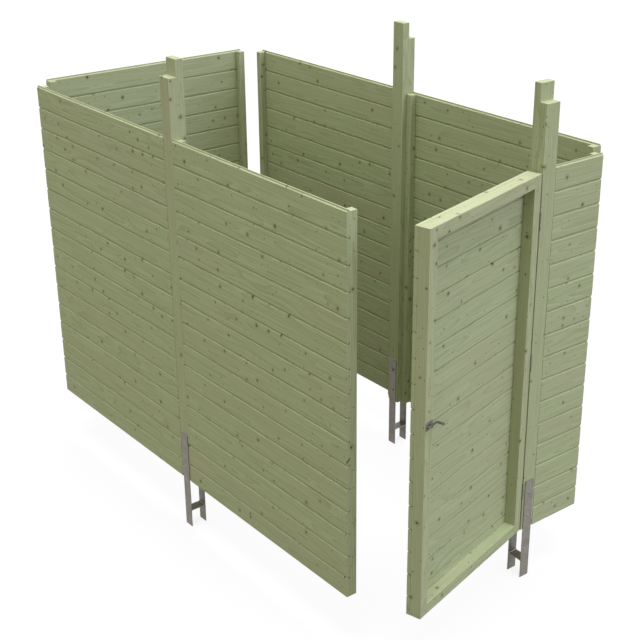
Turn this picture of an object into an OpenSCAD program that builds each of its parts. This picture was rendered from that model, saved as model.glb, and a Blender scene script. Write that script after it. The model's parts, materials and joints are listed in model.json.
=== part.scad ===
// Timber storage room of a carport: six boarded wall panels, three notched
// posts on steel anchors, and a framed door on butt hinges with a slide bolt.
// The four corners are left open for the posts of the carport itself.
// Millimetres, +Z up. The origin is the middle of the footprint's box, on the
// level of the anchors' feet.

/* [Room] */
// Outer width, across the front with the door
room_w = 1635; // [1400:5:2400]
// Outer depth, from the front wall to the rear wall
room_d = 3144; // [2400:2:4200]
// Side of the square space left at each corner for a carport post
corner = 116; // [100:1:150]
// Distance from the left face to the near side of the front post
doorway_right = 1092; // [1060:1:1200]

/* [Wall panels] */
// Height of the wall panels
wall_h = 2000; // [1800:5:2200]
// Thickness of the cladding boards
board_t = 18; // [14:1:28]
// Side of the square upright battens behind the boards
batten_w = 40; // [30:1:60]

/* [Posts] */
// Side of the square posts
post_w = 88; // [80:2:100]
// Length of the posts
post_h = 2400; // [2250:5:2700]
// Height of the notch at a post's top
notch_h = 90; // [60:1:140]
// Depth of the notch, from the post's outer face
notch_d = 44; // [30:1:60]

/* [Anchors] */
// Length of the anchors' steel strips
strip_h = 600; // [500:10:800]
// Width of the strips
strip_w = 60; // [40:1:80]
// Thickness of the strips and of the plate between them
strip_t = 5; // [4:0.5:8]
// Length of the strips below the post
strip_drop = 305; // [200:5:400]
// Distance from the post's bottom down to the plate between the strips
plate_drop = 195; // [50:5:250]
// Diameter of the bolt holes
anchor_bolt_d = 11; // [9:0.5:13]
// Height of the lower bolt hole above the post's bottom
bolt_low = 80; // [40:5:120]
// Height of the upper bolt hole above the post's bottom
bolt_high = 220; // [160:5:260]

/* [Door] */
// Width of the door leaf
door_w = 960; // [800:5:960]
// Height of the door leaf
door_h = 1975; // [1800:5:1980]
// Face width of the door's stiles and rails
stile_w = 60; // [50:1:90]
// Depth of the door's stiles and rails
frame_t = 60; // [40:1:70]
// Thickness of the boards behind the door's frame
door_board_t = 20; // [16:1:24]
// Gap between the door and the front post
door_gap = 7; // [6:0.5:10]
// Height of the door's lower edge above the bottom of the walls
door_lift = 4; // [2:1:20]
// Angle that the door stands open
door_open = 14.7; // [0:0.1:90]

/* [Hinges] */
// Height of the hinge leaves
hinge_h = 90; // [60:2:120]
// Width of a leaf, from the door's outer face inwards
leaf_w = 34; // [25:1:45]
// Thickness of a leaf
leaf_t = 2; // [1.5:0.5:2.5]
// Outer diameter of the knuckles
knuckle_d = 9; // [8:0.5:12]
// Diameter of the hinge pin
hinge_pin_d = 5; // [4:0.5:6]

/* [Slide bolt] */
// Height of the bolt above the bottom of the walls
bolt_z = 1042; // [800:1:1200]
// Length of the base plate
plate_l = 56; // [50:1:60]
// Height of the base plate
plate_h = 44; // [36:1:60]
// Thickness of the base plate
plate_t = 2.5; // [2:0.5:4]
// Diameter of the sliding bar
bar_d = 12; // [8:0.5:12]
// Reach of the bar's bent end from the door's outer face
handle_reach = 48; // [36:1:70]
// Reach of the padlock staple from the door's outer face
staple_reach = 25; // [22:1:32]

/* [Hidden] */
$fn = 48;

wood = "#9aa07c";
wood_light = "#a9ae90";
steel = "#8a857b";

// Plan positions, from the outer left front corner of the room
post_y = (room_d - post_w) / 2;
rear_panels_y = post_y + post_w;
side_panel_l = post_y - corner;
cross_l = room_w - 2 * corner;
front_panel_x = doorway_right + post_w;
front_panel_l = room_w - corner - front_panel_x;

// The battens stop below the tongue of the top board
tongue = 8;
batten_h = wall_h - tongue;
seat_z = post_h - notch_h;

// The hinge pin stands in the gap beside the door, just in front of its face
pin_to_edge = door_gap / 2;
pin_to_face = knuckle_d / 2 - 1;
pivot_x = doorway_right - pin_to_edge;
pivot_y = -pin_to_face;
knuckle_h = hinge_h / 3;
knuckle_play = 0.5;
pin_play = 0.1;
leaf_gap = 0.5;
// Heights of the hinges' middles above the bottom of the walls
upper_hinge_z = 1740;
middle_hinge_z = 990;
lower_hinge_z = 240;

// Places on the door, in its own frame: x from the pin to the lock edge
lock_edge = pin_to_edge + door_w;
frame_back = -pin_to_face - frame_t;
boards_back = frame_back - door_board_t;
rail_l = door_w - 2 * stile_w;

// Slide bolt, in the door's frame
plate_x = lock_edge - stile_w + 2;
bar_y = plate_t + bar_d / 2 + 1;
guide_w = 12;
guide_wall = 3;
guide_play = 0.3;
staple_x = plate_x + 14;
outer_guide_x = plate_x + plate_l - guide_w;
bar_end = lock_edge - 5;
handle_x = plate_x - 26;

// Lowest point of the open door in front of the room, and the box's middle,
// to a tenth of a millimetre
door_reach = (handle_x + bar_d / 2) * sin(door_open)
    + (handle_reach - pin_to_face) * cos(door_open) + pin_to_face;
origin_x = room_w / 2;
origin_y = round(5 * (room_d - door_reach)) / 10;

// Puts a piece given in the room's plan, with z from the bottom of the walls
module in_room(x = 0, y = 0, z = 0) {
    translate([x - origin_x, y - origin_y, z + strip_drop])
        children();
}

// Puts a piece given in the door's own frame: x from the pin to the lock edge,
// y outwards, z from the bottom of the walls
module on_door(x = 0, y = 0, z = 0) {
    in_room(pivot_x, pivot_y)
        rotate([0, 0, 180 + door_open])
            translate([x, y, z])
                children();
}

// Boards of one panel, as a slab: along is "x" or "y"
module boards(length, along) {
    size = along == "x" ? [length, board_t, wall_h] : [board_t, length, wall_h];
    color(wood)
        cube(size);
}

module batten() {
    color(wood_light)
        cube([batten_w, batten_w, batten_h]);
}

// Square post, its notch open towards -X and its foot drilled along X
module post() {
    color(wood)
        difference() {
            cube([post_w, post_w, post_h]);
            translate([-1, -1, seat_z])
                cube([notch_d + 1, post_w + 2, notch_h + 1]);
            for (z = [bolt_low, bolt_high])
                translate([-1, post_w / 2, z])
                    rotate([0, 90, 0])
                        cylinder(d = anchor_bolt_d, h = post_w + 2);
        }
}

// Two strips on the post's faces at X = 0 and X = post_w, joined by a plate
module anchor() {
    color(steel)
        difference() {
            translate([0, (post_w - strip_w) / 2, 0]) {
                for (x = [-strip_t, post_w])
                    translate([x, 0, -strip_drop])
                        cube([strip_t, strip_w, strip_h]);
                translate([0, 0, -plate_drop - strip_t])
                    cube([post_w, strip_w, strip_t]);
            }
            for (z = [bolt_low, bolt_high])
                translate([-strip_t - 1, post_w / 2, z])
                    rotate([0, 90, 0])
                        cylinder(d = anchor_bolt_d, h = post_w + 2 * strip_t + 2);
        }
}

// Places of the posts with their anchors: the notch faces out of the room
module at_left_post() {
    in_room(0, post_y) children();
}

module at_right_post() {
    in_room(room_w, post_y + post_w) rotate([0, 0, 180]) children();
}

module at_front_post() {
    in_room(doorway_right + post_w, 0) rotate([0, 0, 90]) children();
}

// Leaf on one side of the pin, lying along -Y at a distance of pin_to_edge
// towards +X, with the knuckles at the given heights
module hinge_leaf(knuckle_heights, length) {
    radius = knuckle_d / 2;
    root = pin_to_edge - leaf_t;
    translate([root, -leaf_w, -hinge_h / 2])
        cube([leaf_t, leaf_w - radius - leaf_gap, hinge_h]);
    for (z = knuckle_heights)
        translate([0, 0, z]) {
            cylinder(r = radius, h = length);
            translate([root, -radius - leaf_gap - 1, 0])
                cube([leaf_t, radius + leaf_gap + 1, length]);
        }
}

// Post side: outer knuckles and the pin
module hinge_post_leaf(z) {
    color(steel)
        in_room(pivot_x, pivot_y, z) {
            difference() {
                mirror([0, 1, 0])
                    hinge_leaf([-hinge_h / 2, knuckle_h / 2], knuckle_h);
                cylinder(d = hinge_pin_d, h = hinge_h + 2, center = true);
            }
            cylinder(d = hinge_pin_d, h = hinge_h, center = true);
        }
}

// Door side: middle knuckle, bored to turn on the pin
module hinge_door_leaf(z) {
    middle_h = knuckle_h - 2 * knuckle_play;
    color(steel)
        on_door(z = z)
            difference() {
                hinge_leaf([-middle_h / 2], middle_h);
                cylinder(d = hinge_pin_d + 2 * pin_play, h = hinge_h + 2, center = true);
            }
}

// Stile or rail of the door, its outer face level with the door's face
module door_member(x, z, length, height) {
    color(wood_light)
        on_door(x, frame_back, door_lift + z)
            cube([length, frame_t, height]);
}

// Strap over the bar, standing out to the given reach
module guide(x, reach) {
    translate([x, 0, -bar_d / 2 - guide_wall])
        cube([guide_w, reach, bar_d + 2 * guide_wall]);
}

module left_wall_front_boards() { in_room(0, corner) boards(side_panel_l, "y"); }
module left_wall_rear_boards() { in_room(0, rear_panels_y) boards(side_panel_l, "y"); }
module right_wall_front_boards() {
    in_room(room_w - board_t, corner) boards(side_panel_l, "y");
}
module right_wall_rear_boards() {
    in_room(room_w - board_t, rear_panels_y) boards(side_panel_l, "y");
}
module rear_wall_boards() { in_room(corner, room_d - board_t) boards(cross_l, "x"); }
module front_wall_boards() { in_room(front_panel_x, 0) boards(front_panel_l, "x"); }

// Battens of a side panel: near is the end towards the front
module side_batten(x, panel_y, far) {
    in_room(x, panel_y + (far ? side_panel_l - batten_w : 0)) batten();
}
module left_batten(panel_y, far) { side_batten(board_t, panel_y, far); }
module right_batten(panel_y, far) {
    side_batten(room_w - board_t - batten_w, panel_y, far);
}
module left_wall_front_batten_near() { left_batten(corner, false); }
module left_wall_front_batten_far() { left_batten(corner, true); }
module left_wall_rear_batten_near() { left_batten(rear_panels_y, false); }
module left_wall_rear_batten_far() { left_batten(rear_panels_y, true); }
module right_wall_front_batten_near() { right_batten(corner, false); }
module right_wall_front_batten_far() { right_batten(corner, true); }
module right_wall_rear_batten_near() { right_batten(rear_panels_y, false); }
module right_wall_rear_batten_far() { right_batten(rear_panels_y, true); }
module rear_wall_batten_left() {
    in_room(corner, room_d - board_t - batten_w) batten();
}
module rear_wall_batten_right() {
    in_room(room_w - corner - batten_w, room_d - board_t - batten_w) batten();
}
module front_wall_batten_left() { in_room(front_panel_x, board_t) batten(); }
module front_wall_batten_right() {
    in_room(front_panel_x + front_panel_l - batten_w, board_t) batten();
}

module left_post() { at_left_post() post(); }
module right_post() { at_right_post() post(); }
module front_post() { at_front_post() post(); }
module left_anchor() { at_left_post() anchor(); }
module right_anchor() { at_right_post() anchor(); }
module front_anchor() { at_front_post() anchor(); }

module upper_hinge_post_leaf() { hinge_post_leaf(upper_hinge_z); }
module middle_hinge_post_leaf() { hinge_post_leaf(middle_hinge_z); }
module lower_hinge_post_leaf() { hinge_post_leaf(lower_hinge_z); }
module upper_hinge_door_leaf() { hinge_door_leaf(upper_hinge_z); }
module middle_hinge_door_leaf() { hinge_door_leaf(middle_hinge_z); }
module lower_hinge_door_leaf() { hinge_door_leaf(lower_hinge_z); }

module door_lock_stile() { door_member(lock_edge - stile_w, 0, stile_w, door_h); }
module door_hinge_stile() { door_member(pin_to_edge, 0, stile_w, door_h); }
module door_top_rail() {
    door_member(pin_to_edge + stile_w, door_h - stile_w, rail_l, stile_w);
}
module door_bottom_rail() { door_member(pin_to_edge + stile_w, 0, rail_l, stile_w); }
module door_boards() {
    color(wood)
        on_door(pin_to_edge, boards_back, door_lift)
            cube([door_w, door_board_t, door_h]);
}

// Base plate with the outer guide and the padlock staple
module bolt_plate() {
    color(steel)
        on_door(0, -pin_to_face, bolt_z)
            difference() {
                union() {
                    translate([plate_x, 0, -plate_h / 2])
                        cube([plate_l, plate_t, plate_h]);
                    guide(outer_guide_x, bar_y + bar_d / 2 + guide_wall);
                    guide(staple_x, staple_reach);
                }
                translate([plate_x - 1, bar_y, 0])
                    rotate([0, 90, 0])
                        cylinder(d = bar_d + 2 * guide_play, h = plate_l + 2);
            }
}

// Sliding bar, its inner end bent outwards as the handle
module bolt_bar() {
    color(steel)
        on_door(0, -pin_to_face, bolt_z) {
            translate([handle_x, bar_y, 0]) {
                rotate([0, 90, 0])
                    cylinder(d = bar_d, h = bar_end - handle_x);
                sphere(d = bar_d);
                rotate([-90, 0, 0])
                    cylinder(d = bar_d, h = handle_reach - bar_y);
            }
        }
}

left_wall_front_boards();
left_wall_rear_boards();
right_wall_front_boards();
right_wall_rear_boards();
rear_wall_boards();
front_wall_boards();
left_wall_front_batten_near();
left_wall_front_batten_far();
left_wall_rear_batten_near();
left_wall_rear_batten_far();
right_wall_front_batten_near();
right_wall_front_batten_far();
right_wall_rear_batten_near();
right_wall_rear_batten_far();
rear_wall_batten_left();
rear_wall_batten_right();
front_wall_batten_left();
front_wall_batten_right();
left_post();
right_post();
front_post();
left_anchor();
right_anchor();
front_anchor();
upper_hinge_post_leaf();
middle_hinge_post_leaf();
lower_hinge_post_leaf();
upper_hinge_door_leaf();
middle_hinge_door_leaf();
lower_hinge_door_leaf();
door_lock_stile();
door_hinge_stile();
door_top_rail();
door_bottom_rail();
door_boards();
bolt_plate();
bolt_bar();
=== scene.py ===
"""Storage room of a timber carport: clad wall panels between three posts on steel anchors, and a
door with a slide bolt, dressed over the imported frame."""
import json
import logging
import math
import random
from collections.abc import Iterator, Sequence
from dataclasses import dataclass
from enum import Enum

import bmesh
import bpy
from bmesh.types import BMesh, BMFace, BMVert
from mathutils import Matrix, Vector


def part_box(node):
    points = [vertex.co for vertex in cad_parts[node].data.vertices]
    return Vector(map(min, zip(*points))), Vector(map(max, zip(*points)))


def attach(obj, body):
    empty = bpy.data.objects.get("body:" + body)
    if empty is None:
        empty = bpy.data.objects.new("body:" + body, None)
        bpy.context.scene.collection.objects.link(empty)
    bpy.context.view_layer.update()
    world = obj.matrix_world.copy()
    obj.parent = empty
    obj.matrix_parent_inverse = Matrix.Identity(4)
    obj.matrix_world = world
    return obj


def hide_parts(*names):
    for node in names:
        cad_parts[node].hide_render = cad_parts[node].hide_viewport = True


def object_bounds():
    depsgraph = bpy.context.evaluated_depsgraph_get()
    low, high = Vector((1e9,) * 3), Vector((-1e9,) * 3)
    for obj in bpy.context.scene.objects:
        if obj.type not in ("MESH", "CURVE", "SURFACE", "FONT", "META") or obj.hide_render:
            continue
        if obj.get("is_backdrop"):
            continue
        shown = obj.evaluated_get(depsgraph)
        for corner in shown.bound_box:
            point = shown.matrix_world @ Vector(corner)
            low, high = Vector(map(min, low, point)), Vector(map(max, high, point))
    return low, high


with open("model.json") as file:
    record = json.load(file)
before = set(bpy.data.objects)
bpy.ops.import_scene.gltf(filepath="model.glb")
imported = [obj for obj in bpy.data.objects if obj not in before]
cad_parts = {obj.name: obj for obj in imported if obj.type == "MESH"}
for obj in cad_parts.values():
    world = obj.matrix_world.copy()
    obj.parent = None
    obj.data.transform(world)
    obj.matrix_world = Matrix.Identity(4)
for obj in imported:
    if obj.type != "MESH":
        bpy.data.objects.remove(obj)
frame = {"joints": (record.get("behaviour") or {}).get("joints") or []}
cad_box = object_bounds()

log = logging.getLogger("storage_room")

MM = 0.001
SEED = 20


class Body(Enum):
    """Bodies of the frame that a piece can ride on."""

    FRAME = "frame"
    DOOR = "door"
    BAR = "slide_bolt"


class Slot(Enum):
    """Material slots of the record."""

    CLADDING = "cladding"
    BATTEN = "batten"
    POST = "post"
    DOOR_FRAME = "door_frame"
    ANCHOR = "anchor_steel"
    HINGE = "hinge_steel"
    BOLT = "bolt_steel"


class Lie(Enum):
    """How a timber lies: where its length, thickness and width point."""

    ALONG_X = ((1, 0, 0), (0, 1, 0), (0, 0, 1))
    ALONG_Y = ((0, 1, 0), (-1, 0, 0), (0, 0, 1))
    UPRIGHT = ((0, 0, 1), (0, 1, 0), (-1, 0, 0))
    UPRIGHT_TURNED = ((0, 0, 1), (0, -1, 0), (1, 0, 0))
    UPRIGHT_FORWARD = ((0, 0, 1), (-1, 0, 0), (0, -1, 0))


# ---------------------------------------------------------------- materials


def linear(hex_colour: str) -> tuple[float, float, float, float]:
    """Turns an sRGB colour into the linear one that a shader takes.

    Args:
        hex_colour: The colour as "#rrggbb".

    Returns:
        Linear red, green, blue and an alpha of 1.
    """
    parts = [int(hex_colour[i:i + 2], 16) / 255 for i in (1, 3, 5)]
    red, green, blue = (
        part / 12.92 if part <= 0.04045 else ((part + 0.055) / 1.055) ** 2.4 for part in parts
    )
    return red, green, blue, 1.0


def add_node(
    tree: bpy.types.NodeTree,
    kind: str,
    inputs: dict[str | int, object] | None = None,
    **settings: object,
) -> bpy.types.Node:
    """Adds a shader node with its settings, values and links.

    Args:
        tree: The tree that takes the node.
        kind: The node's type, without its "ShaderNode".
        inputs: For each input's name or number, its value or the socket that feeds it.
        **settings: The node's own properties.

    Returns:
        The new node.
    """
    node = tree.nodes.new("ShaderNode" + kind)
    for name, value in settings.items():
        setattr(node, name, value)
    for key, value in (inputs or {}).items():
        if isinstance(value, bpy.types.NodeSocket):
            tree.links.new(value, node.inputs[key])
        else:
            node.inputs[key].default_value = value
    return node


def new_material(name: str) -> tuple[bpy.types.Material, bpy.types.NodeTree, bpy.types.Node]:
    """Makes a material that holds only its shader.

    Args:
        name: The material's name.

    Returns:
        The material, its node tree and its Principled shader.
    """
    material = bpy.data.materials.new(name)
    material.use_nodes = True
    tree = material.node_tree
    return material, tree, tree.nodes["Principled BSDF"]


@dataclass(frozen=True)
class TreatedSoftwood:
    """Planed spruce, pressure-treated with copper salts.

    The salts give a dull green with brown patches. The growth rings show as long streaks, bent
    round dark knots, and the planed face scatters nearly all of its light.
    """

    name: str
    earlywood: str = "#b2bb91"
    latewood: str = "#959f6e"
    heartwood: str = "#aaa380"
    knot_halo: str = "#868a5c"
    knot: str = "#414226"
    ring_mm: float = 8.0
    streak_mm: float = 5.0
    streak_length_mm: float = 350.0
    patch_mm: float = 170.0
    knot_spacing_mm: float = 96.0
    knot_radius_mm: float = 9.0
    knotless_share: float = 0.5
    fleck_spacing_mm: float = 48.0
    fleck_radius_mm: float = 4.5
    fleckless_share: float = 0.5

    def make(self) -> bpy.types.Material:
        """Builds the material, which reads each timber's own grain and tint attributes.

        Returns:
            The material.
        """
        material, tree, shader = new_material(self.name)
        grain = add_node(tree, "Attribute", attribute_name="grain").outputs["Vector"]
        tint = add_node(tree, "Attribute", attribute_name="tint").outputs["Fac"]
        knots, halo = self._knots(tree, grain, self.knot_spacing_mm, self.knot_radius_mm,
                                  self.knotless_share)
        flecks, _ = self._knots(tree, grain, self.fleck_spacing_mm, self.fleck_radius_mm,
                                self.fleckless_share)
        core = add_node(tree, "Math", {0: knots, 1: flecks}, operation="MAXIMUM").outputs[0]
        rings = self._rings(tree, grain, halo)
        # Rings and pores are narrower than this in real spruce, and are drawn as coarse as shows
        streaks = add_node(tree, "TexNoise", {
            "Vector": self._stretched(tree, grain, self.streak_length_mm, self.streak_mm),
            "Scale": 1.0, "Detail": 2.0, "Roughness": 0.6,
        }).outputs["Fac"]
        patches = add_node(tree, "TexNoise", {
            "Vector": self._stretched(tree, grain, 4 * self.patch_mm, self.patch_mm),
            "Scale": 1.0, "Detail": 3.0,
        }).outputs["Fac"]

        figure = add_node(tree, "Math", {0: rings, 1: 0.35, 2: streaks}, operation="MULTIPLY_ADD")
        figure = add_node(tree, "MapRange", {
            "Value": figure.outputs[0], "From Min": 0.3, "From Max": 0.95,
        })
        colour = add_node(tree, "Mix", {
            0: figure.outputs[0], 6: linear(self.earlywood), 7: linear(self.latewood),
        }, data_type="RGBA")
        warmth = add_node(tree, "Math", {0: tint, 1: 0.45, 2: patches}, operation="MULTIPLY_ADD")
        warmth = add_node(tree, "MapRange", {
            "Value": warmth.outputs[0], "From Min": 0.55, "From Max": 1.15, "To Max": 0.35,
        })
        colour = add_node(tree, "Mix", {
            0: warmth.outputs[0], 6: colour.outputs[2], 7: linear(self.heartwood),
        }, data_type="RGBA")
        ringed = add_node(tree, "Math", {0: halo, 1: 0.6}, operation="MULTIPLY")
        colour = add_node(tree, "Mix", {
            0: ringed.outputs[0], 6: colour.outputs[2], 7: linear(self.knot_halo),
        }, data_type="RGBA")
        colour = add_node(tree, "Mix", {
            0: core, 6: colour.outputs[2], 7: linear(self.knot),
        }, data_type="RGBA")

        relief = add_node(tree, "Math", {0: core, 1: 0.8, 2: figure.outputs[0]},
                          operation="MULTIPLY_ADD")
        bump = add_node(tree, "Bump", {
            "Strength": 0.35, "Distance": 0.5 * MM, "Height": relief.outputs[0],
        }, invert=True)
        gloss = add_node(tree, "MapRange", {"Value": streaks, "To Min": 0.66, "To Max": 0.86})
        tree.links.new(colour.outputs[2], shader.inputs["Base Color"])
        tree.links.new(gloss.outputs[0], shader.inputs["Roughness"])
        tree.links.new(bump.outputs["Normal"], shader.inputs["Normal"])
        return material

    def _stretched(
        self, tree: bpy.types.NodeTree, grain: bpy.types.NodeSocket, length_mm: float, width_mm: float
    ) -> bpy.types.NodeSocket:
        """Scales the grain's space so that one unit is a streak's length by its width.

        Args:
            tree: The material's tree.
            grain: Place in the timber, in metres along, through and across it.
            length_mm: Streak length along the grain.
            width_mm: Streak width across it.

        Returns:
            The scaled place.
        """
        scale = (1 / (length_mm * MM), 1 / (width_mm * MM), 1 / (width_mm * MM))
        return add_node(tree, "Mapping", {"Vector": grain, "Scale": scale}).outputs[0]

    def _knots(
        self,
        tree: bpy.types.NodeTree,
        grain: bpy.types.NodeSocket,
        spacing_mm: float,
        radius_mm: float,
        bare_share: float,
    ) -> tuple[bpy.types.NodeSocket, bpy.types.NodeSocket]:
        """Scatters knots over the timber's faces, with size and darkness drawn cell by cell.

        Args:
            tree: The material's tree.
            grain: Place in the timber.
            spacing_mm: Size of the cells, each with room for one knot.
            radius_mm: Radius of the largest knot.
            bare_share: Share of the cells without a knot.

        Returns:
            How much of a point is knot, and how much of it is the wood bent round one.
        """
        place = add_node(tree, "SeparateXYZ", {0: grain})
        girth = add_node(tree, "Math", {0: place.outputs[1], 1: place.outputs[2]}, operation="ADD")
        face = add_node(tree, "CombineXYZ", {0: place.outputs[0], 1: girth.outputs[0]})
        ragged = add_node(tree, "TexNoise", {
            "Vector": face.outputs[0], "Scale": 1 / (2 * radius_mm * MM),
        })
        shifted = add_node(tree, "VectorMath", {
            0: ragged.outputs["Color"], 1: (radius_mm * MM,) * 3, 2: face.outputs[0],
        }, operation="MULTIPLY_ADD")
        cells = add_node(tree, "TexVoronoi", {
            "Vector": shifted.outputs[0], "Scale": 1 / (spacing_mm * MM),
        }, voronoi_dimensions="2D")
        draw = add_node(tree, "SeparateColor", {0: cells.outputs["Color"]})
        radius = add_node(tree, "MapRange", {
            "Value": draw.outputs[0], "From Min": bare_share, "From Max": 1.0,
            "To Min": 0.004, "To Max": radius_mm / spacing_mm,
        }).outputs[0]
        heart = add_node(tree, "Math", {0: radius, 1: 0.6}, operation="MULTIPLY")
        core = add_node(tree, "MapRange", {
            "Value": cells.outputs["Distance"], "From Min": radius, "From Max": heart.outputs[0],
        }, interpolation_type="SMOOTHSTEP")
        reach = add_node(tree, "Math", {0: radius, 1: 2.6}, operation="MULTIPLY")
        halo = add_node(tree, "MapRange", {
            "Value": cells.outputs["Distance"], "From Min": reach.outputs[0], "From Max": radius,
        }, interpolation_type="SMOOTHSTEP")
        depth = add_node(tree, "MapRange", {"Value": draw.outputs[1], "To Min": 0.5})
        faded = add_node(tree, "Math", {0: core.outputs[0], 1: depth.outputs[0]},
                         operation="MULTIPLY")
        return faded.outputs[0], halo.outputs[0]

    def _rings(
        self, tree: bpy.types.NodeTree, grain: bpy.types.NodeSocket, halo: bpy.types.NodeSocket
    ) -> bpy.types.NodeSocket:
        """Cuts the growth rings round the pith, each darkening outwards to a sharp edge.

        Args:
            tree: The material's tree.
            grain: Place in the timber, measured from its pith.
            halo: Where the wood bends round a knot.

        Returns:
            The ring's darkness, from 0 to 1.
        """
        radial = add_node(tree, "VectorMath", {0: grain, 1: (0.0, 1.0, 1.0)}, operation="MULTIPLY")
        from_pith = add_node(tree, "VectorMath", {0: radial.outputs[0]}, operation="LENGTH")
        sway = add_node(tree, "TexNoise", {
            "Vector": self._stretched(tree, grain, 600, 90), "Scale": 1.0, "Detail": 1.0,
        })
        swayed = add_node(tree, "Math", {
            0: sway.outputs["Fac"], 1: 0.05, 2: from_pith.outputs["Value"],
        }, operation="MULTIPLY_ADD")
        bent = add_node(tree, "Math", {0: halo, 1: 0.01, 2: swayed.outputs[0]},
                        operation="MULTIPLY_ADD")
        turns = add_node(tree, "Math", {0: bent.outputs[0], 1: 1 / (self.ring_mm * MM)},
                         operation="MULTIPLY")
        ring = add_node(tree, "Math", {0: turns.outputs[0]}, operation="FRACT")
        return add_node(tree, "Math", {0: ring.outputs[0], 1: 2.5}, operation="POWER").outputs[0]


@dataclass(frozen=True)
class ZincedSteel:
    """Flat or round steel under a zinc coat.

    Zinc gives a dull metallic grey in crystals that each catch the light a little differently,
    with darker patches where the coat has weathered.
    """

    name: str
    bright: str
    dull: str
    spangle_mm: float
    roughness: float
    metallic: float = 0.8

    def make(self) -> bpy.types.Material:
        """Builds the material on the object's own coordinates.

        Returns:
            The material.
        """
        material, tree, shader = new_material(self.name)
        place = add_node(tree, "TexCoord").outputs["Object"]
        spangle = add_node(tree, "TexVoronoi", {"Vector": place, "Scale": 1 / (self.spangle_mm * MM)})
        crystal = add_node(tree, "SeparateColor", {0: spangle.outputs["Color"]})
        weather = add_node(tree, "TexNoise", {
            "Vector": place, "Scale": 0.25 / (self.spangle_mm * MM), "Detail": 4.0,
        })
        shade = add_node(tree, "Math", {
            0: crystal.outputs[0], 1: 0.2, 2: weather.outputs["Fac"],
        }, operation="MULTIPLY_ADD")
        shade = add_node(tree, "MapRange", {
            "Value": shade.outputs[0], "From Min": 0.3, "From Max": 0.9,
        })
        colour = add_node(tree, "Mix", {
            0: shade.outputs[0], 6: linear(self.bright), 7: linear(self.dull),
        }, data_type="RGBA")
        gloss = add_node(tree, "MapRange", {
            "Value": crystal.outputs[1], "To Min": self.roughness - 0.06,
            "To Max": self.roughness + 0.1,
        })
        bump = add_node(tree, "Bump", {
            "Strength": 0.2, "Distance": 0.1 * MM, "Height": weather.outputs["Fac"],
        })
        shader.inputs["Metallic"].default_value = self.metallic
        tree.links.new(colour.outputs[2], shader.inputs["Base Color"])
        tree.links.new(gloss.outputs[0], shader.inputs["Roughness"])
        tree.links.new(bump.outputs["Normal"], shader.inputs["Normal"])
        return material


@dataclass(frozen=True)
class Finishes:
    """The finishes that the pieces share."""

    cladding: bpy.types.Material
    batten: bpy.types.Material
    post: bpy.types.Material
    door_frame: bpy.types.Material
    anchor: bpy.types.Material
    fitting: bpy.types.Material
    rod: bpy.types.Material

    @classmethod
    def make(cls) -> "Finishes":
        """Mixes every finish once."""
        return cls(
            cladding=TreatedSoftwood("treated_spruce_cladding").make(),
            batten=TreatedSoftwood("treated_spruce_batten", knot_spacing_mm=80).make(),
            post=TreatedSoftwood("treated_spruce_post", knot_spacing_mm=110).make(),
            door_frame=TreatedSoftwood("treated_spruce_door_frame", knot_spacing_mm=85).make(),
            anchor=ZincedSteel("hot_dip_galvanised_strip", "#918d82", "#7b766b", 12, 0.55).make(),
            fitting=ZincedSteel("zinc_plated_fitting", "#8f9184", "#6b6d5f", 5, 0.45, 0.6).make(),
            # The rod's darker greys are painted shade: it is the same zinc as the fitting, darkened to stand in for
            # the shade on the bar; its patches remain real weathering
            rod=ZincedSteel("zinc_rod_painted_shade", "#71725f", "#4a4b3c", 5, 0.5, 0.6).make(),
        )


# ----------------------------------------------------------------- shaping


def fresh(bm: BMesh, before: set[BMVert]) -> list[BMVert]:
    """Lists the vertices that weren't there before."""
    return [vert for vert in bm.verts if vert not in before]


def soften(bm: BMesh, verts: Sequence[BMVert], radius: float, segments: int = 2) -> None:
    """Rounds the sharp edges between some vertices.

    Args:
        bm: The mesh.
        verts: The vertices of the shape.
        radius: How far the rounding reaches from each edge.
        segments: Faces across the rounding.
    """
    edges = {edge for vert in verts for edge in vert.link_edges}
    sharp = [edge for edge in edges if edge.calc_face_angle(0) > math.radians(30)]
    bmesh.ops.bevel(bm, geom=sharp, offset=radius, affect="EDGES", segments=segments,
                    profile=0.5, material=-1, clamp_overlap=True)


def add_block(bm: BMesh, low: Sequence[float], high: Sequence[float]) -> list[BMVert]:
    """Adds a cuboid between two corners.

    Args:
        bm: The mesh.
        low: Its lowest corner.
        high: Its highest corner.

    Returns:
        The cuboid's vertices.
    """
    low, high = Vector(low), Vector(high)
    place = Matrix.LocRotScale((low + high) / 2, None, high - low)
    return bmesh.ops.create_cube(bm, size=1.0, matrix=place)["verts"]


def add_prism(bm: BMesh, outline: Sequence[tuple[float, float]], length: float) -> list[BMVert]:
    """Draws an outline across x and extrudes it along x.

    Args:
        bm: The mesh.
        outline: The outline's (y, z) points in order.
        length: How far it is extruded.

    Returns:
        The prism's vertices.
    """
    before = set(bm.verts)
    end = bm.faces.new([bm.verts.new((0, y, z)) for y, z in outline])
    swept = bmesh.ops.extrude_face_region(bm, geom=[end])["geom"]
    moved = [item for item in swept if isinstance(item, BMVert)]
    bmesh.ops.translate(bm, verts=moved, vec=(length, 0, 0))
    return fresh(bm, before)


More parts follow.
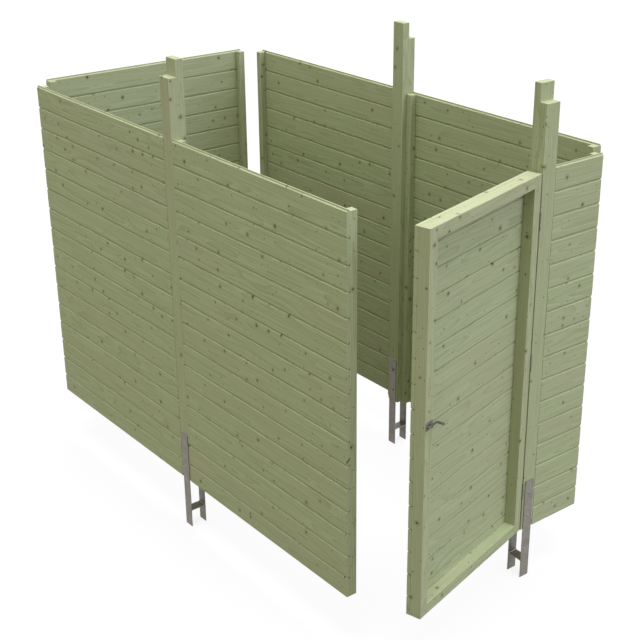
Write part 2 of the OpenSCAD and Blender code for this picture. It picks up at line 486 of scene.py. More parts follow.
def add_plate(
    bm: BMesh, size: tuple[float, float], thickness: float, corner: float, place: Matrix
) -> None:
    """Adds a flat plate with rounded corners.

    Args:
        bm: The mesh.
        size: Its width and height in x and y, about the middle.
        thickness: Its thickness upwards in z.
        corner: Radius of its four corners.
        place: Where the plate goes.
    """
    before = set(bm.verts)
    grid = bmesh.ops.create_grid(bm, x_segments=1, y_segments=1, size=0.5,
                                 matrix=Matrix.Diagonal((*size, 1, 1)))
    bmesh.ops.bevel(bm, geom=grid["verts"], offset=corner, affect="VERTICES", segments=5,
                    profile=0.5, material=-1)
    face = next(iter(fresh(bm, before)[0].link_faces))
    swept = bmesh.ops.extrude_face_region(bm, geom=[face])["geom"]
    moved = [item for item in swept if isinstance(item, BMVert)]
    bmesh.ops.translate(bm, verts=moved, vec=(0, 0, thickness))
    soften(bm, fresh(bm, before), 0.15 * thickness, segments=1)
    bmesh.ops.transform(bm, matrix=place, verts=fresh(bm, before))


def add_turned(
    bm: BMesh, profile: Sequence[tuple[float, float]], place: Matrix, steps: int = 16
) -> None:
    """Turns a profile about z into a closed round shape.

    Args:
        bm: The mesh.
        profile: Its (radius, height) points, from one end of the axis to the other.
        place: Where the shape goes.
        steps: Faces round it.
    """
    before = set(bm.verts)
    points = [bm.verts.new((radius, 0, height)) for radius, height in profile]
    edges = [bm.edges.new(pair) for pair in zip(points, points[1:])]
    bmesh.ops.spin(bm, geom=points + edges, cent=(0, 0, 0), axis=(0, 0, 1),
                   angle=2 * math.pi, steps=steps, use_merge=True)
    bmesh.ops.remove_doubles(bm, verts=fresh(bm, before), dist=0.01 * MM)
    bmesh.ops.transform(bm, matrix=place, verts=fresh(bm, before))


def add_hexagon(bm: BMesh, across: float, height: float, place: Matrix) -> None:
    """Adds a hexagon nut with chamfered ends.

    Args:
        bm: The mesh.
        across: Distance across its flats.
        height: Its height upwards in z.
        place: Where the nut goes.
    """
    before = set(bm.verts)
    radius = across / math.sqrt(3)
    bmesh.ops.create_cone(bm, cap_ends=True, segments=6, radius1=radius, radius2=radius,
                          depth=height, matrix=Matrix.Translation((0, 0, height / 2)))
    soften(bm, fresh(bm, before), 0.06 * across, segments=1)
    bmesh.ops.transform(bm, matrix=place, verts=fresh(bm, before))


def place_between(low: Vector, high: Vector, lie: Lie) -> Matrix:
    """Finds the place of a shape that is made from the origin in x, y and z.

    Args:
        low: Lowest corner of the box that the shape fills.
        high: Highest corner of that box.
        lie: Where the shape's own x, y and z point.

    Returns:
        The matrix that puts the shape in the box.
    """
    turn = Matrix(lie.value).transposed()
    toward = turn @ Vector((1, 1, 1))
    corner = Vector([low[i] if toward[i] > 0 else high[i] for i in range(3)])
    return Matrix.Translation(corner) @ turn.to_4x4()


def size_between(low: Vector, high: Vector, lie: Lie) -> Vector:
    """Gives a box's length, thickness and width for a way of lying."""
    turned = Matrix(lie.value) @ (high - low)
    return Vector([abs(part) for part in turned])


def new_timber() -> BMesh:
    """Starts the mesh of a timber or boards, ready for mark_grain."""
    bm = bmesh.new()
    bm.verts.layers.float_vector.new("grain")
    bm.verts.layers.float.new("tint")
    return bm


def mark_grain(bm: BMesh, verts: Sequence[BMVert], size: Vector, draw: random.Random) -> None:
    """Gives a timber's vertices their place in the tree it was cut from, and its tint.

    The timber lies from the origin along x, with its thickness in y and its width in z.

    Args:
        bm: The mesh.
        verts: The timber's vertices.
        size: Its length, thickness and width.
        draw: Draws where in the tree the timber was.
    """
    grain = bm.verts.layers.float_vector["grain"]
    tint = bm.verts.layers.float["tint"]
    pith = Vector((
        -draw.uniform(0, 50),
        -draw.uniform(0.02, 0.06),
        size.z * draw.uniform(0.2, 0.8),
    ))
    shade = draw.random()
    for vert in verts:
        vert[grain] = vert.co - pith
        vert[tint] = shade


def add_timber(
    bm: BMesh, low: Vector, high: Vector, lie: Lie, arris: float, draw: random.Random
) -> list[BMVert]:
    """Adds a planed timber with eased arrises.

    Args:
        bm: The mesh.
        low: Lowest corner of its box.
        high: Highest corner of its box.
        lie: How it lies.
        arris: Radius of its arrises.
        draw: Draws its grain.

    Returns:
        The timber's vertices, in place.
    """
    before = set(bm.verts)
    size = size_between(low, high, lie)
    soften(bm, add_block(bm, (0, 0, 0), size), arris)
    mark_grain(bm, fresh(bm, before), size, draw)
    bmesh.ops.transform(bm, matrix=place_between(low, high, lie), verts=fresh(bm, before))
    return fresh(bm, before)


def add_piece(
    name: str,
    bm: BMesh,
    finish: bpy.types.Material,
    body: Body,
    slot: Slot,
    stands_for: Sequence[str] = (),
) -> bpy.types.Object:
    """Turns a finished mesh into a piece that rides on its body, and reports it.

    Args:
        name: The piece's name.
        bm: Its mesh, which this uses up.
        finish: Its material.
        body: The body it moves with.
        slot: The record's material slot meant for it; not used.
        stands_for: The CAD nodes that it replaces.

    Returns:
        The piece.
    """
    bmesh.ops.recalc_face_normals(bm, faces=bm.faces)
    mesh = bpy.data.meshes.new(name)
    bm.to_mesh(mesh)
    bm.free()
    mesh.shade_smooth()
    mesh.set_sharp_from_angle(angle=math.radians(20))
    mesh.materials.append(finish)
    piece = bpy.data.objects.new(name, mesh)
    bpy.context.scene.collection.objects.link(piece)
    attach(piece, body.value)
    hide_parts(*stands_for)
    log.info("%s: %d faces on %s", name, len(mesh.polygons), body.value)
    return piece


# ---------------------------------------------------------------- fasteners


@dataclass(frozen=True)
class Screw:
    """Pan-head wood screw, of which only the head shows."""

    head: float = 7.5 * MM
    rise: float = 1.8 * MM
    steps: int = 10

    def drive(self, bm: BMesh, point: Vector, outwards: Vector) -> None:
        """Sets one screw head on a face.

        Args:
            bm: The mesh that takes it.
            point: Middle of the head, on the face.
            outwards: The face's direction.
        """
        radius = self.head / 2
        place = Matrix.Translation(point) @ outwards.to_track_quat("Z", "Y").to_matrix().to_4x4()
        add_turned(bm, [
            (0, -self.rise), (radius, -self.rise), (radius, 0.3 * self.rise),
            (0.75 * radius, 0.8 * self.rise), (0.3 * radius, self.rise),
            (0.25 * radius, 0.4 * self.rise), (0, 0.4 * self.rise),
        ], place, self.steps)


@dataclass(frozen=True)
class CoachBolt:
    """Coach bolt through a post, with its washer and nut."""

    shank: float = 10 * MM
    head: float = 20 * MM
    dome: float = 4 * MM
    washer: float = 21 * MM
    washer_t: float = 2 * MM
    nut: float = 17 * MM
    nut_h: float = 8 * MM
    tail: float = 3 * MM

    def fit(self, bm: BMesh, head_at: Vector, tail_at: Vector) -> None:
        """Puts a bolt through two faces.

        Args:
            bm: The mesh that takes it.
            head_at: Middle of the hole on the head's side.
            tail_at: Middle of the hole on the nut's side.
        """
        run = tail_at - head_at
        inwards = run.normalized().to_track_quat("Z", "Y").to_matrix().to_4x4()
        place = Matrix.Translation(head_at) @ inwards
        reach, shank, head = run.length, self.shank / 2, self.head / 2
        end = reach + self.washer_t + self.nut_h + self.tail
        add_turned(bm, [
            (0, -self.dome), (0.45 * head, -0.85 * self.dome), (0.8 * head, -0.5 * self.dome),
            (head, -0.1 * self.dome), (head, 0), (shank, 0),
            (shank, end - 1 * MM), (shank - 1 * MM, end), (0, end),
        ], place, steps=24)
        washer = self.washer / 2
        add_turned(bm, [
            (0, 0), (washer, 0), (washer, self.washer_t), (0, self.washer_t),
        ], place @ Matrix.Translation((0, 0, reach)), steps=24)
        add_hexagon(bm, self.nut, self.nut_h,
                    place @ Matrix.Translation((0, 0, reach + self.washer_t)))


# --------------------------------------------------------------- structure


@dataclass(frozen=True)
class Cladding:
    """Tongued and grooved boards, laid level with a V at every joint."""

    pitch: float = 125.6 * MM
    first_joint: float = 109 * MM
    chamfer_in: float = 6 * MM
    chamfer_down: float = 9 * MM
    chamfer_up: float = 5 * MM
    gap: float = 1.4 * MM
    tongue: float = 7 * MM
    tongue_t: float = 5 * MM
    play: float = 0.4 * MM
    end_play: float = 1.5 * MM

    def courses(self, height: float, lift: float, open_top: bool) -> Iterator[tuple[float, float, bool, bool]]:
        """Works out the boards of a panel, from the bottom.

        Args:
            height: The panel's height, with the top board's tongue if it shows.
            lift: How far the panel starts above the bottom of the walls.
            open_top: Whether the top board keeps its tongue.

        Yields:
            Bottom and top of each board above the panel's foot, and whether each is sawn flat.
        """
        ceiling = height - self.tongue if open_top else height
        joint = self.first_joint - lift
        bottom, sawn = 0.0, True
        while joint < ceiling - 2 * self.chamfer_down:
            yield bottom, joint - self.gap / 2, sawn, False
            bottom, sawn = joint + self.gap / 2, False
            joint += self.pitch
        yield bottom, ceiling, sawn, not open_top

    def outline(self, thickness: float, height: float, foot_sawn: bool, top_sawn: bool) -> list[tuple[float, float]]:
        """Draws a board's section.

        Args:
            thickness: The board's thickness.
            height: Its height without the tongue.
            foot_sawn: Whether its foot is flat.
            top_sawn: Whether its top is flat.

        Returns:
            The section's (thickness, height) points in order.
        """
        middle, cut = thickness / 2, self.chamfer_in
        rise, fall = self.chamfer_down, height - self.chamfer_up
        groove = self.tongue_t / 2 + self.play
        half = self.tongue_t / 2
        depth = self.tongue + self.play
        foot = [
            (0, rise), (cut, 0), (middle - groove, 0), (middle - groove, depth),
            (middle + groove, depth), (middle + groove, 0), (thickness - cut, 0), (thickness, rise),
        ]
        top = [
            (thickness, fall), (thickness - cut, height), (middle + half, height),
            (middle + half, height + self.tongue), (middle - half, height + self.tongue),
            (middle - half, height), (cut, height), (0, fall),
        ]
        flat_foot = [(0, 0), (thickness, 0)]
        flat_top = [(thickness, height), (0, height)]
        return (flat_foot if foot_sawn else foot) + (flat_top if top_sawn else top)

    def lay(
        self, size: Vector, place: Matrix, lift: float, open_top: bool, draw: random.Random
    ) -> BMesh:
        """Lays the boards of one panel.

        Args:
            size: The panel's length, thickness and height.
            place: Where the panel goes.
            lift: How far it starts above the bottom of the walls.
            open_top: Whether the top board keeps its tongue.
            draw: Draws each board's grain and the play at its ends.

        Returns:
            The boards' mesh.
        """
        bm = new_timber()
        for bottom, top, foot_sawn, top_sawn in self.courses(size.z, lift, open_top):
            before = set(bm.verts)
            start, end = (draw.uniform(0, self.end_play) for _ in range(2))
            outline = self.outline(size.y, top - bottom, foot_sawn, top_sawn)
            board = add_prism(bm, outline, size.x - start - end)
            mark_grain(bm, board, Vector((size.x, size.y, top - bottom)), draw)
            bmesh.ops.translate(bm, verts=board, vec=(start, 0, bottom))
        bmesh.ops.transform(bm, matrix=place, verts=bm.verts)
        return bm


@dataclass
class WallPanel:
    """One panel of a wall: its boards, and the two battens that they are screwed to."""

    name: str
    sides: tuple[str, str]
    cladding: Cladding = Cladding()
    arris: float = 2 * MM
    screw: Screw = Screw()
    screw_every: int = 2

    def build(self, finishes: Finishes, draw: random.Random) -> None:
        """Makes the panel's pieces.

        Args:
            finishes: The shared finishes.
            draw: Draws the grain.
        """
        boards = f"{self.name}_boards"
        low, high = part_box(boards)
        lie = Lie.ALONG_X if high.x - low.x > high.y - low.y else Lie.ALONG_Y
        laid = self.cladding.lay(size_between(low, high, lie), place_between(low, high, lie),
                                 0.0, True, draw)
        add_piece(f"{self.name}_cladding", laid, finishes.cladding, Body.FRAME, Slot.CLADDING,
                  [boards])
        heads = bmesh.new()
        for side in self.sides:
            node = f"{self.name}_batten_{side}"
            timber = new_timber()
            add_timber(timber, *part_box(node), Lie.UPRIGHT, self.arris, draw)
            add_piece(f"{node}_planed", timber, finishes.batten, Body.FRAME, Slot.BATTEN, [node])
            self._drive_screws(heads, node, (low + high) / 2, high.z - low.z)
        add_piece(f"{self.name}_screws", heads, finishes.fitting, Body.FRAME, Slot.ANCHOR)

    def _drive_screws(self, bm: BMesh, batten: str, panel: Vector, height: float) -> None:
        """Sets a row of screws up a batten, on the face away from the boards.

        Args:
            bm: The mesh that takes the heads.
            batten: The batten's node.
            panel: Middle of the panel's boards.
            height: The panel's height.
        """
        low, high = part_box(batten)
        middle = (low + high) / 2
        across = 0 if abs(middle.x - panel.x) < abs(middle.y - panel.y) else 1
        outwards = middle - panel
        outwards.z = outwards[across] = 0
        thin = 0 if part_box(f"{self.name}_boards")[1].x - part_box(f"{self.name}_boards")[0].x < 0.1 else 1
        outwards = Vector((0, 0, 0))
        outwards[thin] = math.copysign(1, middle[thin] - panel[thin])
        face = middle.copy()
        face[thin] = high[thin] if outwards[thin] > 0 else low[thin]
        for bottom, top, _, _ in list(self.cladding.courses(height, 0, True))[::self.screw_every]:
            face.z = low.z + (bottom + top) / 2
            self.screw.drive(bm, face, outwards)


@dataclass
class Post:
    """A planed post whose head is halved to seat a beam, on an anchor of two strips."""

    name: str
    lie: Lie
    notch_h: float = 90 * MM
    notch_d: float = 44 * MM
    arris: float = 3 * MM
    strip_t: float = 5 * MM
    plate_rise: float = 105 * MM
    plate_t: float = 5 * MM
    weld: float = 4 * MM
    bolt_rises: tuple[float, float] = (385 * MM, 525 * MM)
    bolt: CoachBolt = CoachBolt()

    def build(self, finishes: Finishes, draw: random.Random) -> None:
        """Makes the post, its anchor and its bolts.

        Args:
            finishes: The shared finishes.
            draw: Draws the grain.
        """
        self._build_post(finishes, draw)
        self._build_anchor(finishes)

    def _build_post(self, finishes: Finishes, draw: random.Random) -> None:
        """Cuts the post to its halved head.

        Args:
            finishes: The shared finishes.
            draw: Draws the grain.
        """
        node = f"{self.name}_post"
        low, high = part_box(node)
        size = size_between(low, high, self.lie)
        seat, tenon = size.x - self.notch_h, size.z - self.notch_d
        bm = new_timber()
        add_block(bm, (0, 0, 0), (seat, size.y, size.z))
        bmesh.ops.bisect_plane(bm, geom=bm.verts[:] + bm.edges[:] + bm.faces[:],
                               plane_co=(0, 0, tenon), plane_no=(0, 0, 1))
        head = [
            face for face in bm.faces
            if face.calc_center_median().x > seat - MM and face.calc_center_median().z < tenon
        ]
        swept = bmesh.ops.extrude_face_region(bm, geom=head)["geom"]
        raised = [item for item in swept if isinstance(item, BMVert)]
        bmesh.ops.translate(bm, verts=raised, vec=(self.notch_h, 0, 0))
        bmesh.ops.delete(bm, geom=head, context="FACES_ONLY")
        bmesh.ops.dissolve_limit(bm, angle_limit=math.radians(1), verts=bm.verts, edges=bm.edges)
        soften(bm, bm.verts, self.arris)
        mark_grain(bm, bm.verts, size, draw)
        bmesh.ops.transform(bm, matrix=place_between(low, high, self.lie), verts=bm.verts)
        add_piece(f"{node}_planed", bm, finishes.post, Body.FRAME, Slot.POST, [node])

    def _build_anchor(self, finishes: Finishes) -> None:
        """Makes the anchor's strips, cross plate and welds, and its bolts.

        Args:
            finishes: The shared finishes.
        """
        node = f"{self.name}_anchor"
        low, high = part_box(node)
        size = size_between(low, high, self.lie)
        place = place_between(low, high, self.lie)
        bm = bmesh.new()
        inner = (self.strip_t, size.z - self.strip_t)
        for start in (0, inner[1]):
            strip = add_block(bm, (0, 0, start), (size.x, size.y, start + self.strip_t))
            soften(bm, strip, 0.8 * MM, segments=1)
        underside, top = self.plate_rise, self.plate_rise + self.plate_t
        soften(bm, add_block(bm, (underside, 0, inner[0]), (top, size.y, inner[1])), 0.8 * MM, 1)
        for level, up in ((underside, -self.weld), (top, self.weld)):
            for wall, out in ((inner[0], self.weld), (inner[1], -self.weld)):
                bead = add_prism(bm, [(level, wall), (level, wall + out), (level + up, wall)], size.y)
                swap = Matrix(((0, 1, 0, 0), (1, 0, 0, 0), (0, 0, 1, 0), (0, 0, 0, 1)))
                bmesh.ops.transform(bm, matrix=swap, verts=bead)
        bmesh.ops.transform(bm, matrix=place, verts=bm.verts)
        add_piece(f"{node}_strips", bm, finishes.anchor, Body.FRAME, Slot.ANCHOR, [node])
        bolts = bmesh.new()
        for rise in self.bolt_rises:
            head = place @ Vector((rise, size.y / 2, size.z))
            tail = place @ Vector((rise, size.y / 2, 0))
            self.bolt.fit(bolts, head, tail)
        add_piece(f"{node}_bolts", bolts, finishes.anchor, Body.FRAME, Slot.ANCHOR)


# -------------------------------------------------------------------- door


@dataclass
class Door:
    """The framed door, hung on three butt hinges and fastened by a slide bolt.

    Its own frame has x from the hinge pin to the lock edge, y outwards and z up.
    """

    pin: Vector
    swing: float
    foot: float
    width: float = 960 * MM
    height: float = 1975 * MM
    lift: float = 4 * MM
    stile: float = 60 * MM
    depth: float = 60 * MM
    board_t: float = 20 * MM
    pin_to_edge: float = 3.5 * MM
    pin_to_face: float = 3.5 * MM
    arris: float = 2 * MM
    cladding: Cladding = Cladding(chamfer_down=5 * MM, chamfer_up=3 * MM, end_play=0.5 * MM)

    @property
    def place(self) -> Matrix:
        """Where the door's own frame is."""
        foot = Vector((self.pin.x, self.pin.y, self.foot))
        return Matrix.Translation(foot) @ Matrix.Rotation(math.pi + self.swing, 4, "Z")

    def build(self, finishes: Finishes, draw: random.Random) -> None:
        """Makes the door's frame and its boards.

        Args:
            finishes: The shared finishes.
            draw: Draws the grain.
        """
        left, right = self.pin_to_edge, self.pin_to_edge + self.width
        back, face = -self.pin_to_face - self.depth, -self.pin_to_face
        bottom, top = self.lift, self.lift + self.height
        members = {
            "door_hinge_stile": (left, left + self.stile, bottom, top, Lie.UPRIGHT),
            "door_lock_stile": (right - self.stile, right, bottom, top, Lie.UPRIGHT),
            "door_bottom_rail":
                (left + self.stile, right - self.stile, bottom, bottom + self.stile, Lie.ALONG_X),
            "door_top_rail":
                (left + self.stile, right - self.stile, top - self.stile, top, Lie.ALONG_X),
        }
        for node, (start, end, low_z, high_z, lie) in members.items():
            bm = new_timber()
            add_timber(bm, Vector((start, back, low_z)), Vector((end, face, high_z)), lie,
                       self.arris, draw)
            bmesh.ops.transform(bm, matrix=self.place, verts=bm.verts)
            add_piece(f"{node}_planed", bm, finishes.door_frame, Body.DOOR, Slot.DOOR_FRAME, [node])
        low = Vector((left, back - self.board_t, bottom))
        high = Vector((right, back, top))
        laid = self.cladding.lay(high - low, self.place @ Matrix.Translation(low), self.lift,
                                 False, draw)
        add_piece("door_cladding", laid, finishes.cladding, Body.DOOR, Slot.CLADDING,
                  ["door_boards"])


@dataclass
class Hinge:
    """A butt hinge: one leaf on the post with the pin, one on the door's edge."""

    name: str
    middle_z: float
    height: float = 90 * MM
    leaf_w: float = 34 * MM
    leaf_t: float = 2 * MM
    knuckle_d: float = 9 * MM
    pin_d: float = 5 * MM
    play: float = 0.5 * MM
    corner: float = 4 * MM
    screw: Screw = Screw(head=7 * MM, rise=0.4 * MM)

    def build(self, door: Door, finishes: Finishes) -> None:
        """Makes both leaves round the door's pin.

        Args:
            door: The door that hangs on it.
            finishes: The shared finishes.
        """
        third = self.height / 3
        fixed = Matrix.Translation((door.pin.x, door.pin.y, door.foot + self.middle_z))
        mirrored = fixed @ Matrix.Diagonal((1, -1, 1, 1))
        swung = door.place @ Matrix.Translation((0, 0, self.middle_z))
        post_leaf = self._leaf(door, [(-1.5 * third, -0.5 * third), (0.5 * third, 1.5 * third)])
        rivet = self.pin_d / 2
        end = self.height / 2
        add_turned(post_leaf, [
            (0, -end), (rivet - 0.5 * MM, -end), (rivet, 0.5 * MM - end), (rivet, end - 0.5 * MM),
            (rivet - 0.5 * MM, end), (0, end),
        ], Matrix(), steps=20)
        bmesh.ops.transform(post_leaf, matrix=mirrored, verts=post_leaf.verts)
        add_piece(f"{self.name}_hinge_post_side", post_leaf, finishes.fitting, Body.FRAME,
                  Slot.HINGE, [f"{self.name}_hinge_post_leaf"])
        middle = third / 2 - self.play
        door_leaf = self._leaf(door, [(-middle, middle)])
        bmesh.ops.transform(door_leaf, matrix=swung, verts=door_leaf.verts)
        add_piece(f"{self.name}_hinge_door_side", door_leaf, finishes.fitting, Body.DOOR,
                  Slot.HINGE, [f"{self.name}_hinge_door_leaf"])

    def _leaf(self, door: Door, knuckles: Sequence[tuple[float, float]]) -> BMesh:
        """Makes one leaf beside the pin, with its knuckles rolled round it.

        Args:
            door: The door, for the pin's place.
            knuckles: Bottom and top of each knuckle, from the hinge's middle.

        Returns:
            The leaf's mesh, its pin on z and its plate towards -y.
        """
        bm = bmesh.new()
        radius, bore = self.knuckle_d / 2, self.pin_d / 2 + 0.1 * MM
        plate_w = self.leaf_w - radius - self.play
        root = door.pin_to_edge - self.leaf_t
        upright = Matrix(((0, 0, 1, root), (1, 0, 0, plate_w / 2 - self.leaf_w), (0, 1, 0, 0),
                          (0, 0, 0, 1)))
        add_plate(bm, (plate_w, self.height), self.leaf_t, self.corner, upright)
        for bottom, top in knuckles:
            neck = add_block(bm, (root, -radius - 1.5 * MM, bottom), (root + self.leaf_t, -bore, top))
            soften(bm, neck, 0.2 * MM, 1)
            add_turned(bm, [
                (bore, bottom), (radius - 0.5 * MM, bottom), (radius, bottom + 0.5 * MM),
                (radius, top - 0.5 * MM), (radius - 0.5 * MM, top), (bore, top), (bore, bottom),
            ], Matrix(), steps=24)
        for height in (-0.36, 0, 0.36):
            side = -0.62 if height else -0.4
            point = Vector((root, side * self.leaf_w, height * self.height))
            self.screw.drive(bm, point, Vector((-1, 0, 0)))
        return bm


@dataclass
class SlideBolt:
    """The slide bolt on the lock stile: base plate, strap and staple, and a bent round bar."""

    height: float = 1042 * MM
    plate: tuple[float, float] = (56 * MM, 44 * MM)
    plate_t: float = 2.5 * MM
    plate_inset: float = 2 * MM
    corner: float = 5 * MM
    bar_d: float = 12 * MM
    strap_w: float = 12 * MM
    strap_t: float = 3 * MM
    play: float = 0.3 * MM
    staple_inset: float = 14 * MM
    staple_reach: float = 25 * MM
    handle_reach: float = 48 * MM
    handle_before: float = 26 * MM
    bar_short: float = 5 * MM
    bend: float = 9 * MM
    screw: Screw = Screw(head=7 * MM, rise=1.6 * MM)

    def build(self, door: Door, finishes: Finishes) -> None:
        """Makes the fitting and its bar on the door's face.

        Args:
            door: The door that carries it.
            finishes: The shared finishes.
        """
        lock_edge = door.pin_to_edge + door.width
        start = lock_edge - door.stile + self.plate_inset
        place = door.place @ Matrix.Translation((0, -door.pin_to_face, self.height))
        bar_y = self.plate_t + self.bar_d / 2 + 1 * MM

        fitting = bmesh.new()
        outwards = Matrix.Rotation(-math.pi / 2, 4, "X")
        middle = Matrix.Translation((start + self.plate[0] / 2, 0, 0))
        add_plate(fitting, self.plate, self.plate_t, self.corner, middle @ outwards)
        outer = start + self.plate[0] - self.strap_w
        self._strap(fitting, outer, bar_y + self.bar_d / 2 + self.strap_t)
        self._strap(fitting, start + self.staple_inset, self.staple_reach)
        for across in (0.09, 0.91):
            for up in (-0.36, 0.36):
                point = Vector((start + across * self.plate[0], self.plate_t, up * self.plate[1]))
                self.screw.drive(fitting, point, Vector((0, 1, 0)))
        bmesh.ops.transform(fitting, matrix=place, verts=fitting.verts)
        add_piece("slide_bolt_plate", fitting, finishes.fitting, Body.DOOR, Slot.BOLT,
                  ["bolt_plate"])

        bar = self._bar(start - self.handle_before, lock_edge - self.bar_short, bar_y)
        bmesh.ops.transform(bar, matrix=place, verts=bar.verts)
        # The bar takes the rod finish, whose darker greys are painted shade
        add_piece("slide_bolt_bar", bar, finishes.rod, Body.BAR, Slot.BOLT, ["bolt_bar"])

    def _strap(self, bm: BMesh, start: float, reach: float) -> None:
        """Bends a strap over the bar, with its legs down to the plate.

        Args:
            bm: The mesh that takes it.
            start: Its edge nearer the handle.
            reach: How far it stands out from the door's face.
        """
        before = set(bm.verts)
        inner = self.bar_d / 2 + self.play
        outer = inner + self.strap_t - self.play
        centre = reach - outer
        section = [(0, inner), (self.strap_w, inner), (self.strap_w, outer), (0, outer)]
        leg = bm.faces.new([bm.verts.new((start + x, self.plate_t / 2, z)) for x, z in section])
        sides = [leg]
        swept = bmesh.ops.extrude_face_region(bm, geom=sides)["geom"]
        bmesh.ops.translate(bm, vec=(0, centre - self.plate_t / 2, 0),
                            verts=[item for item in swept if isinstance(item, BMVert)])
        bent = [item for item in swept if isinstance(item, BMFace)]
        turned = bmesh.ops.spin(bm, geom=bent, cent=(0, centre, 0), axis=(1, 0, 0),
                                angle=math.pi, steps=10)["geom_last"]
        last = [item for item in turned if isinstance(item, BMFace)]
        down = bmesh.ops.extrude_face_region(bm, geom=last)["geom"]
        bmesh.ops.translate(bm, vec=(0, self.plate_t / 2 - centre, 0),
                            verts=[item for item in down if isinstance(item, BMVert)])
        inside = [face for face in bent + last if face.is_valid]
        bmesh.ops.delete(bm, geom=inside, context="FACES_ONLY")
        bmesh.ops.remove_doubles(bm, verts=fresh(bm, before), dist=0.01 * MM)
        soften(bm, fresh(bm, before), 0.5 * MM, 1)

    def _run_on(self, bm: BMesh, tip: list[BMFace], run: Vector) -> list[BMFace]:
        """Extrudes the bar's end straight on.

        Args:
            bm: The bar's mesh.
            tip: The bar's end face.
            run: How far and where to.

        Returns:
            The new end face.
        """
        swept = bmesh.ops.extrude_face_region(bm, geom=tip)["geom"]
        bmesh.ops.translate(bm, vec=run, verts=[item for item in swept if isinstance(item, BMVert)])
        return [item for item in swept if isinstance(item, BMFace)]

    def _bar(self, handle: float, end: float, axis: float) -> BMesh:
        """Bends the round bar outwards at its inner end, as the handle.

        Args:
            handle: Where the handle stands, along the bar.
            end: Where the bar ends.
            axis: The bar's distance from the door's face.

        Returns:
            The bar's mesh.
        """
        bm = bmesh.new()
        disc = bmesh.ops.create_circle(
            bm, cap_ends=True, segments=20, radius=self.bar_d / 2,
            matrix=Matrix.Translation((end, axis, 0)) @ Matrix.Rotation(math.pi / 2, 4, "Y"))
        tip = list(disc["verts"][0].link_faces)
        tip = self._run_on(bm, tip, Vector((handle + self.bend - end, 0, 0)))
        bent = bmesh.ops.spin(bm, geom=tip, cent=(handle + self.bend, axis + self.bend, 0),
                              axis=(0, 0, 1), angle=-math.pi / 2, steps=8)["geom_last"]
        bmesh.ops.delete(bm, geom=tip, context="FACES_ONLY")
        tip = [item for item in bent if isinstance(item, BMFace)]
        self._run_on(bm, tip, Vector((0, self.handle_reach - axis - self.bend, 0)))
        bmesh.ops.delete(bm, geom=tip, context="FACES_ONLY")
        rims = [edge for face in bm.faces if len(face.verts) > 4 for edge in face.edges]
        bmesh.ops.bevel(bm, geom=rims, offset=1.5 * MM, affect="EDGES", segments=3, profile=0.5,
                        material=-1)
        return bm


# ------------------------------------------------------------------ studio


@dataclass(frozen=True)
class Sun:
    """A soft, even light from far away."""

    name: str
    colour: str
    strength: float
    towards: tuple[float, float, float]
    spread: float

    def hang(self) -> None:
        """Adds the light to the scene."""
        data = bpy.data.lights.new(self.name, "SUN")
        data.color = linear(self.colour)[:3]
        data.energy = self.strength
        data.angle = math.radians(self.spread)
        lamp = bpy.data.objects.new(self.name, data)
        lamp.rotation_euler = Vector(self.towards).to_track_quat("-Z", "Y").to_euler()
        bpy.context.scene.collection.objects.link(lamp)


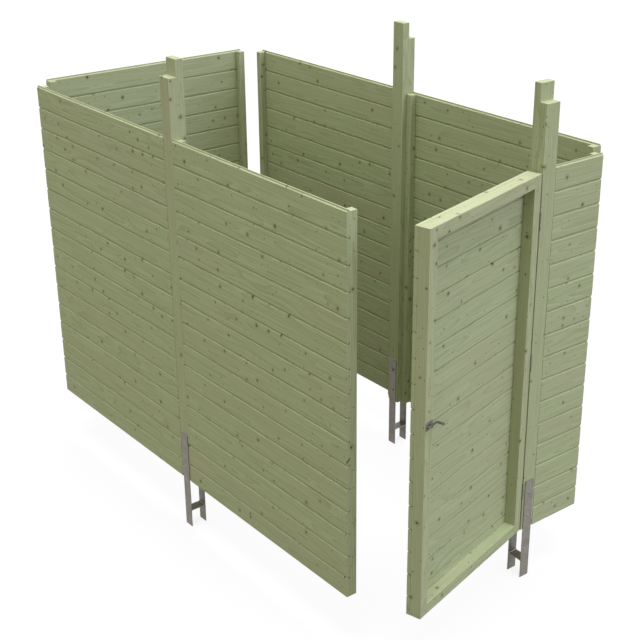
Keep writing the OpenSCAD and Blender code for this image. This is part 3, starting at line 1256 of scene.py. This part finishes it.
@dataclass
class Studio:
    """Camera, lights and a white surround."""

    eye: tuple[float, float, float] = (-4.0568, -5.3472, 4.062)
    turn: tuple[float, float, float] = (65.935, -0.083, -39.104)
    lens: float = 71.66
    shift: tuple[float, float] = (-0.0526, 0.0123)
    sky: float = 0.46
    floor_size: float = 60.0
    floor_glow: float = 0.86
    floor_white: str = "#e6e6e6"
    floor_bounce: str = "#66644f"
    suns: tuple[Sun, ...] = (
        Sun("overhead_light", "#f5f2ff", 3.6, (0.02, 0.05, -1.0), 40),
        Sun("front_light", "#d8dcff", 1.5, (-0.42, 1.0, -0.45), 40),
        Sun("left_light", "#fffcf4", 0.4, (1.0, 0.1, -0.6), 50),
        Sun("rear_fill", "#ffffff", 0.5, (-0.8, -0.6, -0.5), 60),
    )

    def build(self) -> None:
        """Sets up the whole studio."""
        bpy.context.scene.view_settings.view_transform = "Standard"
        self._set_camera()
        self._light_world()
        self._lay_floor()
        for sun in self.suns:
            sun.hang()
        log.info("studio: %d lights", len(self.suns))

    def _set_camera(self) -> None:
        """Stands the camera above the near left corner."""
        data = bpy.data.cameras.new("camera")
        data.sensor_width = 36
        data.lens = self.lens
        data.shift_x, data.shift_y = self.shift
        camera = bpy.data.objects.new("camera", data)
        camera.location = self.eye
        camera.rotation_euler = [math.radians(angle) for angle in self.turn]
        bpy.context.scene.collection.objects.link(camera)
        bpy.context.scene.camera = camera

    def _seen(self, tree: bpy.types.NodeTree) -> bpy.types.NodeSocket:
        """Tells the rays that see the surround from those that only carry its light.

        Args:
            tree: The tree that asks.

        Returns:
            1 for camera, mirrored and transmitted rays, and 0 for the others.
        """
        path = add_node(tree, "LightPath")
        clear = add_node(tree, "Math", {
            0: path.outputs["Is Camera Ray"], 1: path.outputs["Is Glossy Ray"],
        }, operation="MAXIMUM")
        return add_node(tree, "Math", {
            0: clear.outputs[0], 1: path.outputs["Is Transmission Ray"],
        }, operation="MAXIMUM").outputs[0]

    def _light_world(self) -> None:
        """Makes the surround white to look at and dimmer as a light."""
        world = bpy.data.worlds.new("white_surround")
        bpy.context.scene.world = world
        world.use_nodes = True
        tree = world.node_tree
        strength = add_node(tree, "MapRange", {
            "Value": self._seen(tree), "To Min": self.sky, "To Max": 1.0,
        })
        surround = tree.nodes["Background"]
        surround.inputs["Color"].default_value = linear("#ffffff")
        tree.links.new(strength.outputs[0], surround.inputs["Strength"])

    def _lay_floor(self) -> None:
        """Lays a matt white floor that keeps only a faint shadow."""
        material = bpy.data.materials.new("matt_white_floor")
        material.use_nodes = True
        tree = material.node_tree
        tree.nodes.remove(tree.nodes["Principled BSDF"])
        shaded = add_node(tree, "BsdfDiffuse", {"Color": linear(self.floor_white)})
        glow = add_node(tree, "Emission", {"Color": linear("#ffffff")})
        looks = add_node(tree, "MixShader", {
            0: self.floor_glow, 1: shaded.outputs[0], 2: glow.outputs[0],
        })
        bounce = add_node(tree, "BsdfDiffuse", {"Color": linear(self.floor_bounce)})
        either = add_node(tree, "MixShader", {
            0: self._seen(tree), 1: bounce.outputs[0], 2: looks.outputs[0],
        })
        tree.links.new(either.outputs[0], tree.nodes["Material Output"].inputs["Surface"])
        bm = bmesh.new()
        bmesh.ops.create_grid(bm, x_segments=1, y_segments=1, size=self.floor_size / 2)
        mesh = bpy.data.meshes.new("floor")
        bm.to_mesh(mesh)
        bm.free()
        mesh.materials.append(material)
        floor = bpy.data.objects.new("floor", mesh)
        bpy.context.scene.collection.objects.link(floor)
        floor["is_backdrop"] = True


def main() -> None:
    """Builds the storage room and its studio."""
    logging.basicConfig(level=logging.INFO, format="%(message)s")
    draw = random.Random(SEED)
    finishes = Finishes.make()
    for panel in (
        WallPanel("left_wall_front", ("near", "far")),
        WallPanel("left_wall_rear", ("near", "far")),
        WallPanel("right_wall_front", ("near", "far")),
        WallPanel("right_wall_rear", ("near", "far")),
        WallPanel("rear_wall", ("left", "right")),
        WallPanel("front_wall", ("left", "right")),
    ):
        panel.build(finishes, draw)
    for post in (
        Post("left", Lie.UPRIGHT),
        Post("right", Lie.UPRIGHT_TURNED),
        Post("front", Lie.UPRIGHT_FORWARD),
    ):
        post.build(finishes, draw)

    hung = next(joint for joint in frame["joints"] if joint["name"] == "door_swing")
    door = Door(pin=Vector(hung["pos_m"]), swing=math.radians(-hung["range_deg"][0]),
                foot=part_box("left_wall_front_boards")[0].z)
    door.build(finishes, draw)
    for name, middle_z in (("upper", 1740 * MM), ("middle", 990 * MM), ("lower", 240 * MM)):
        Hinge(name, middle_z).build(door, finishes)
    SlideBolt().build(door, finishes)
    Studio().build()

    boxes = {"cad": cad_box, "visual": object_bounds()}
    {name: [list(low), list(high)] for name, (low, high) in boxes.items()}


if __name__ == "__main__":
    main()
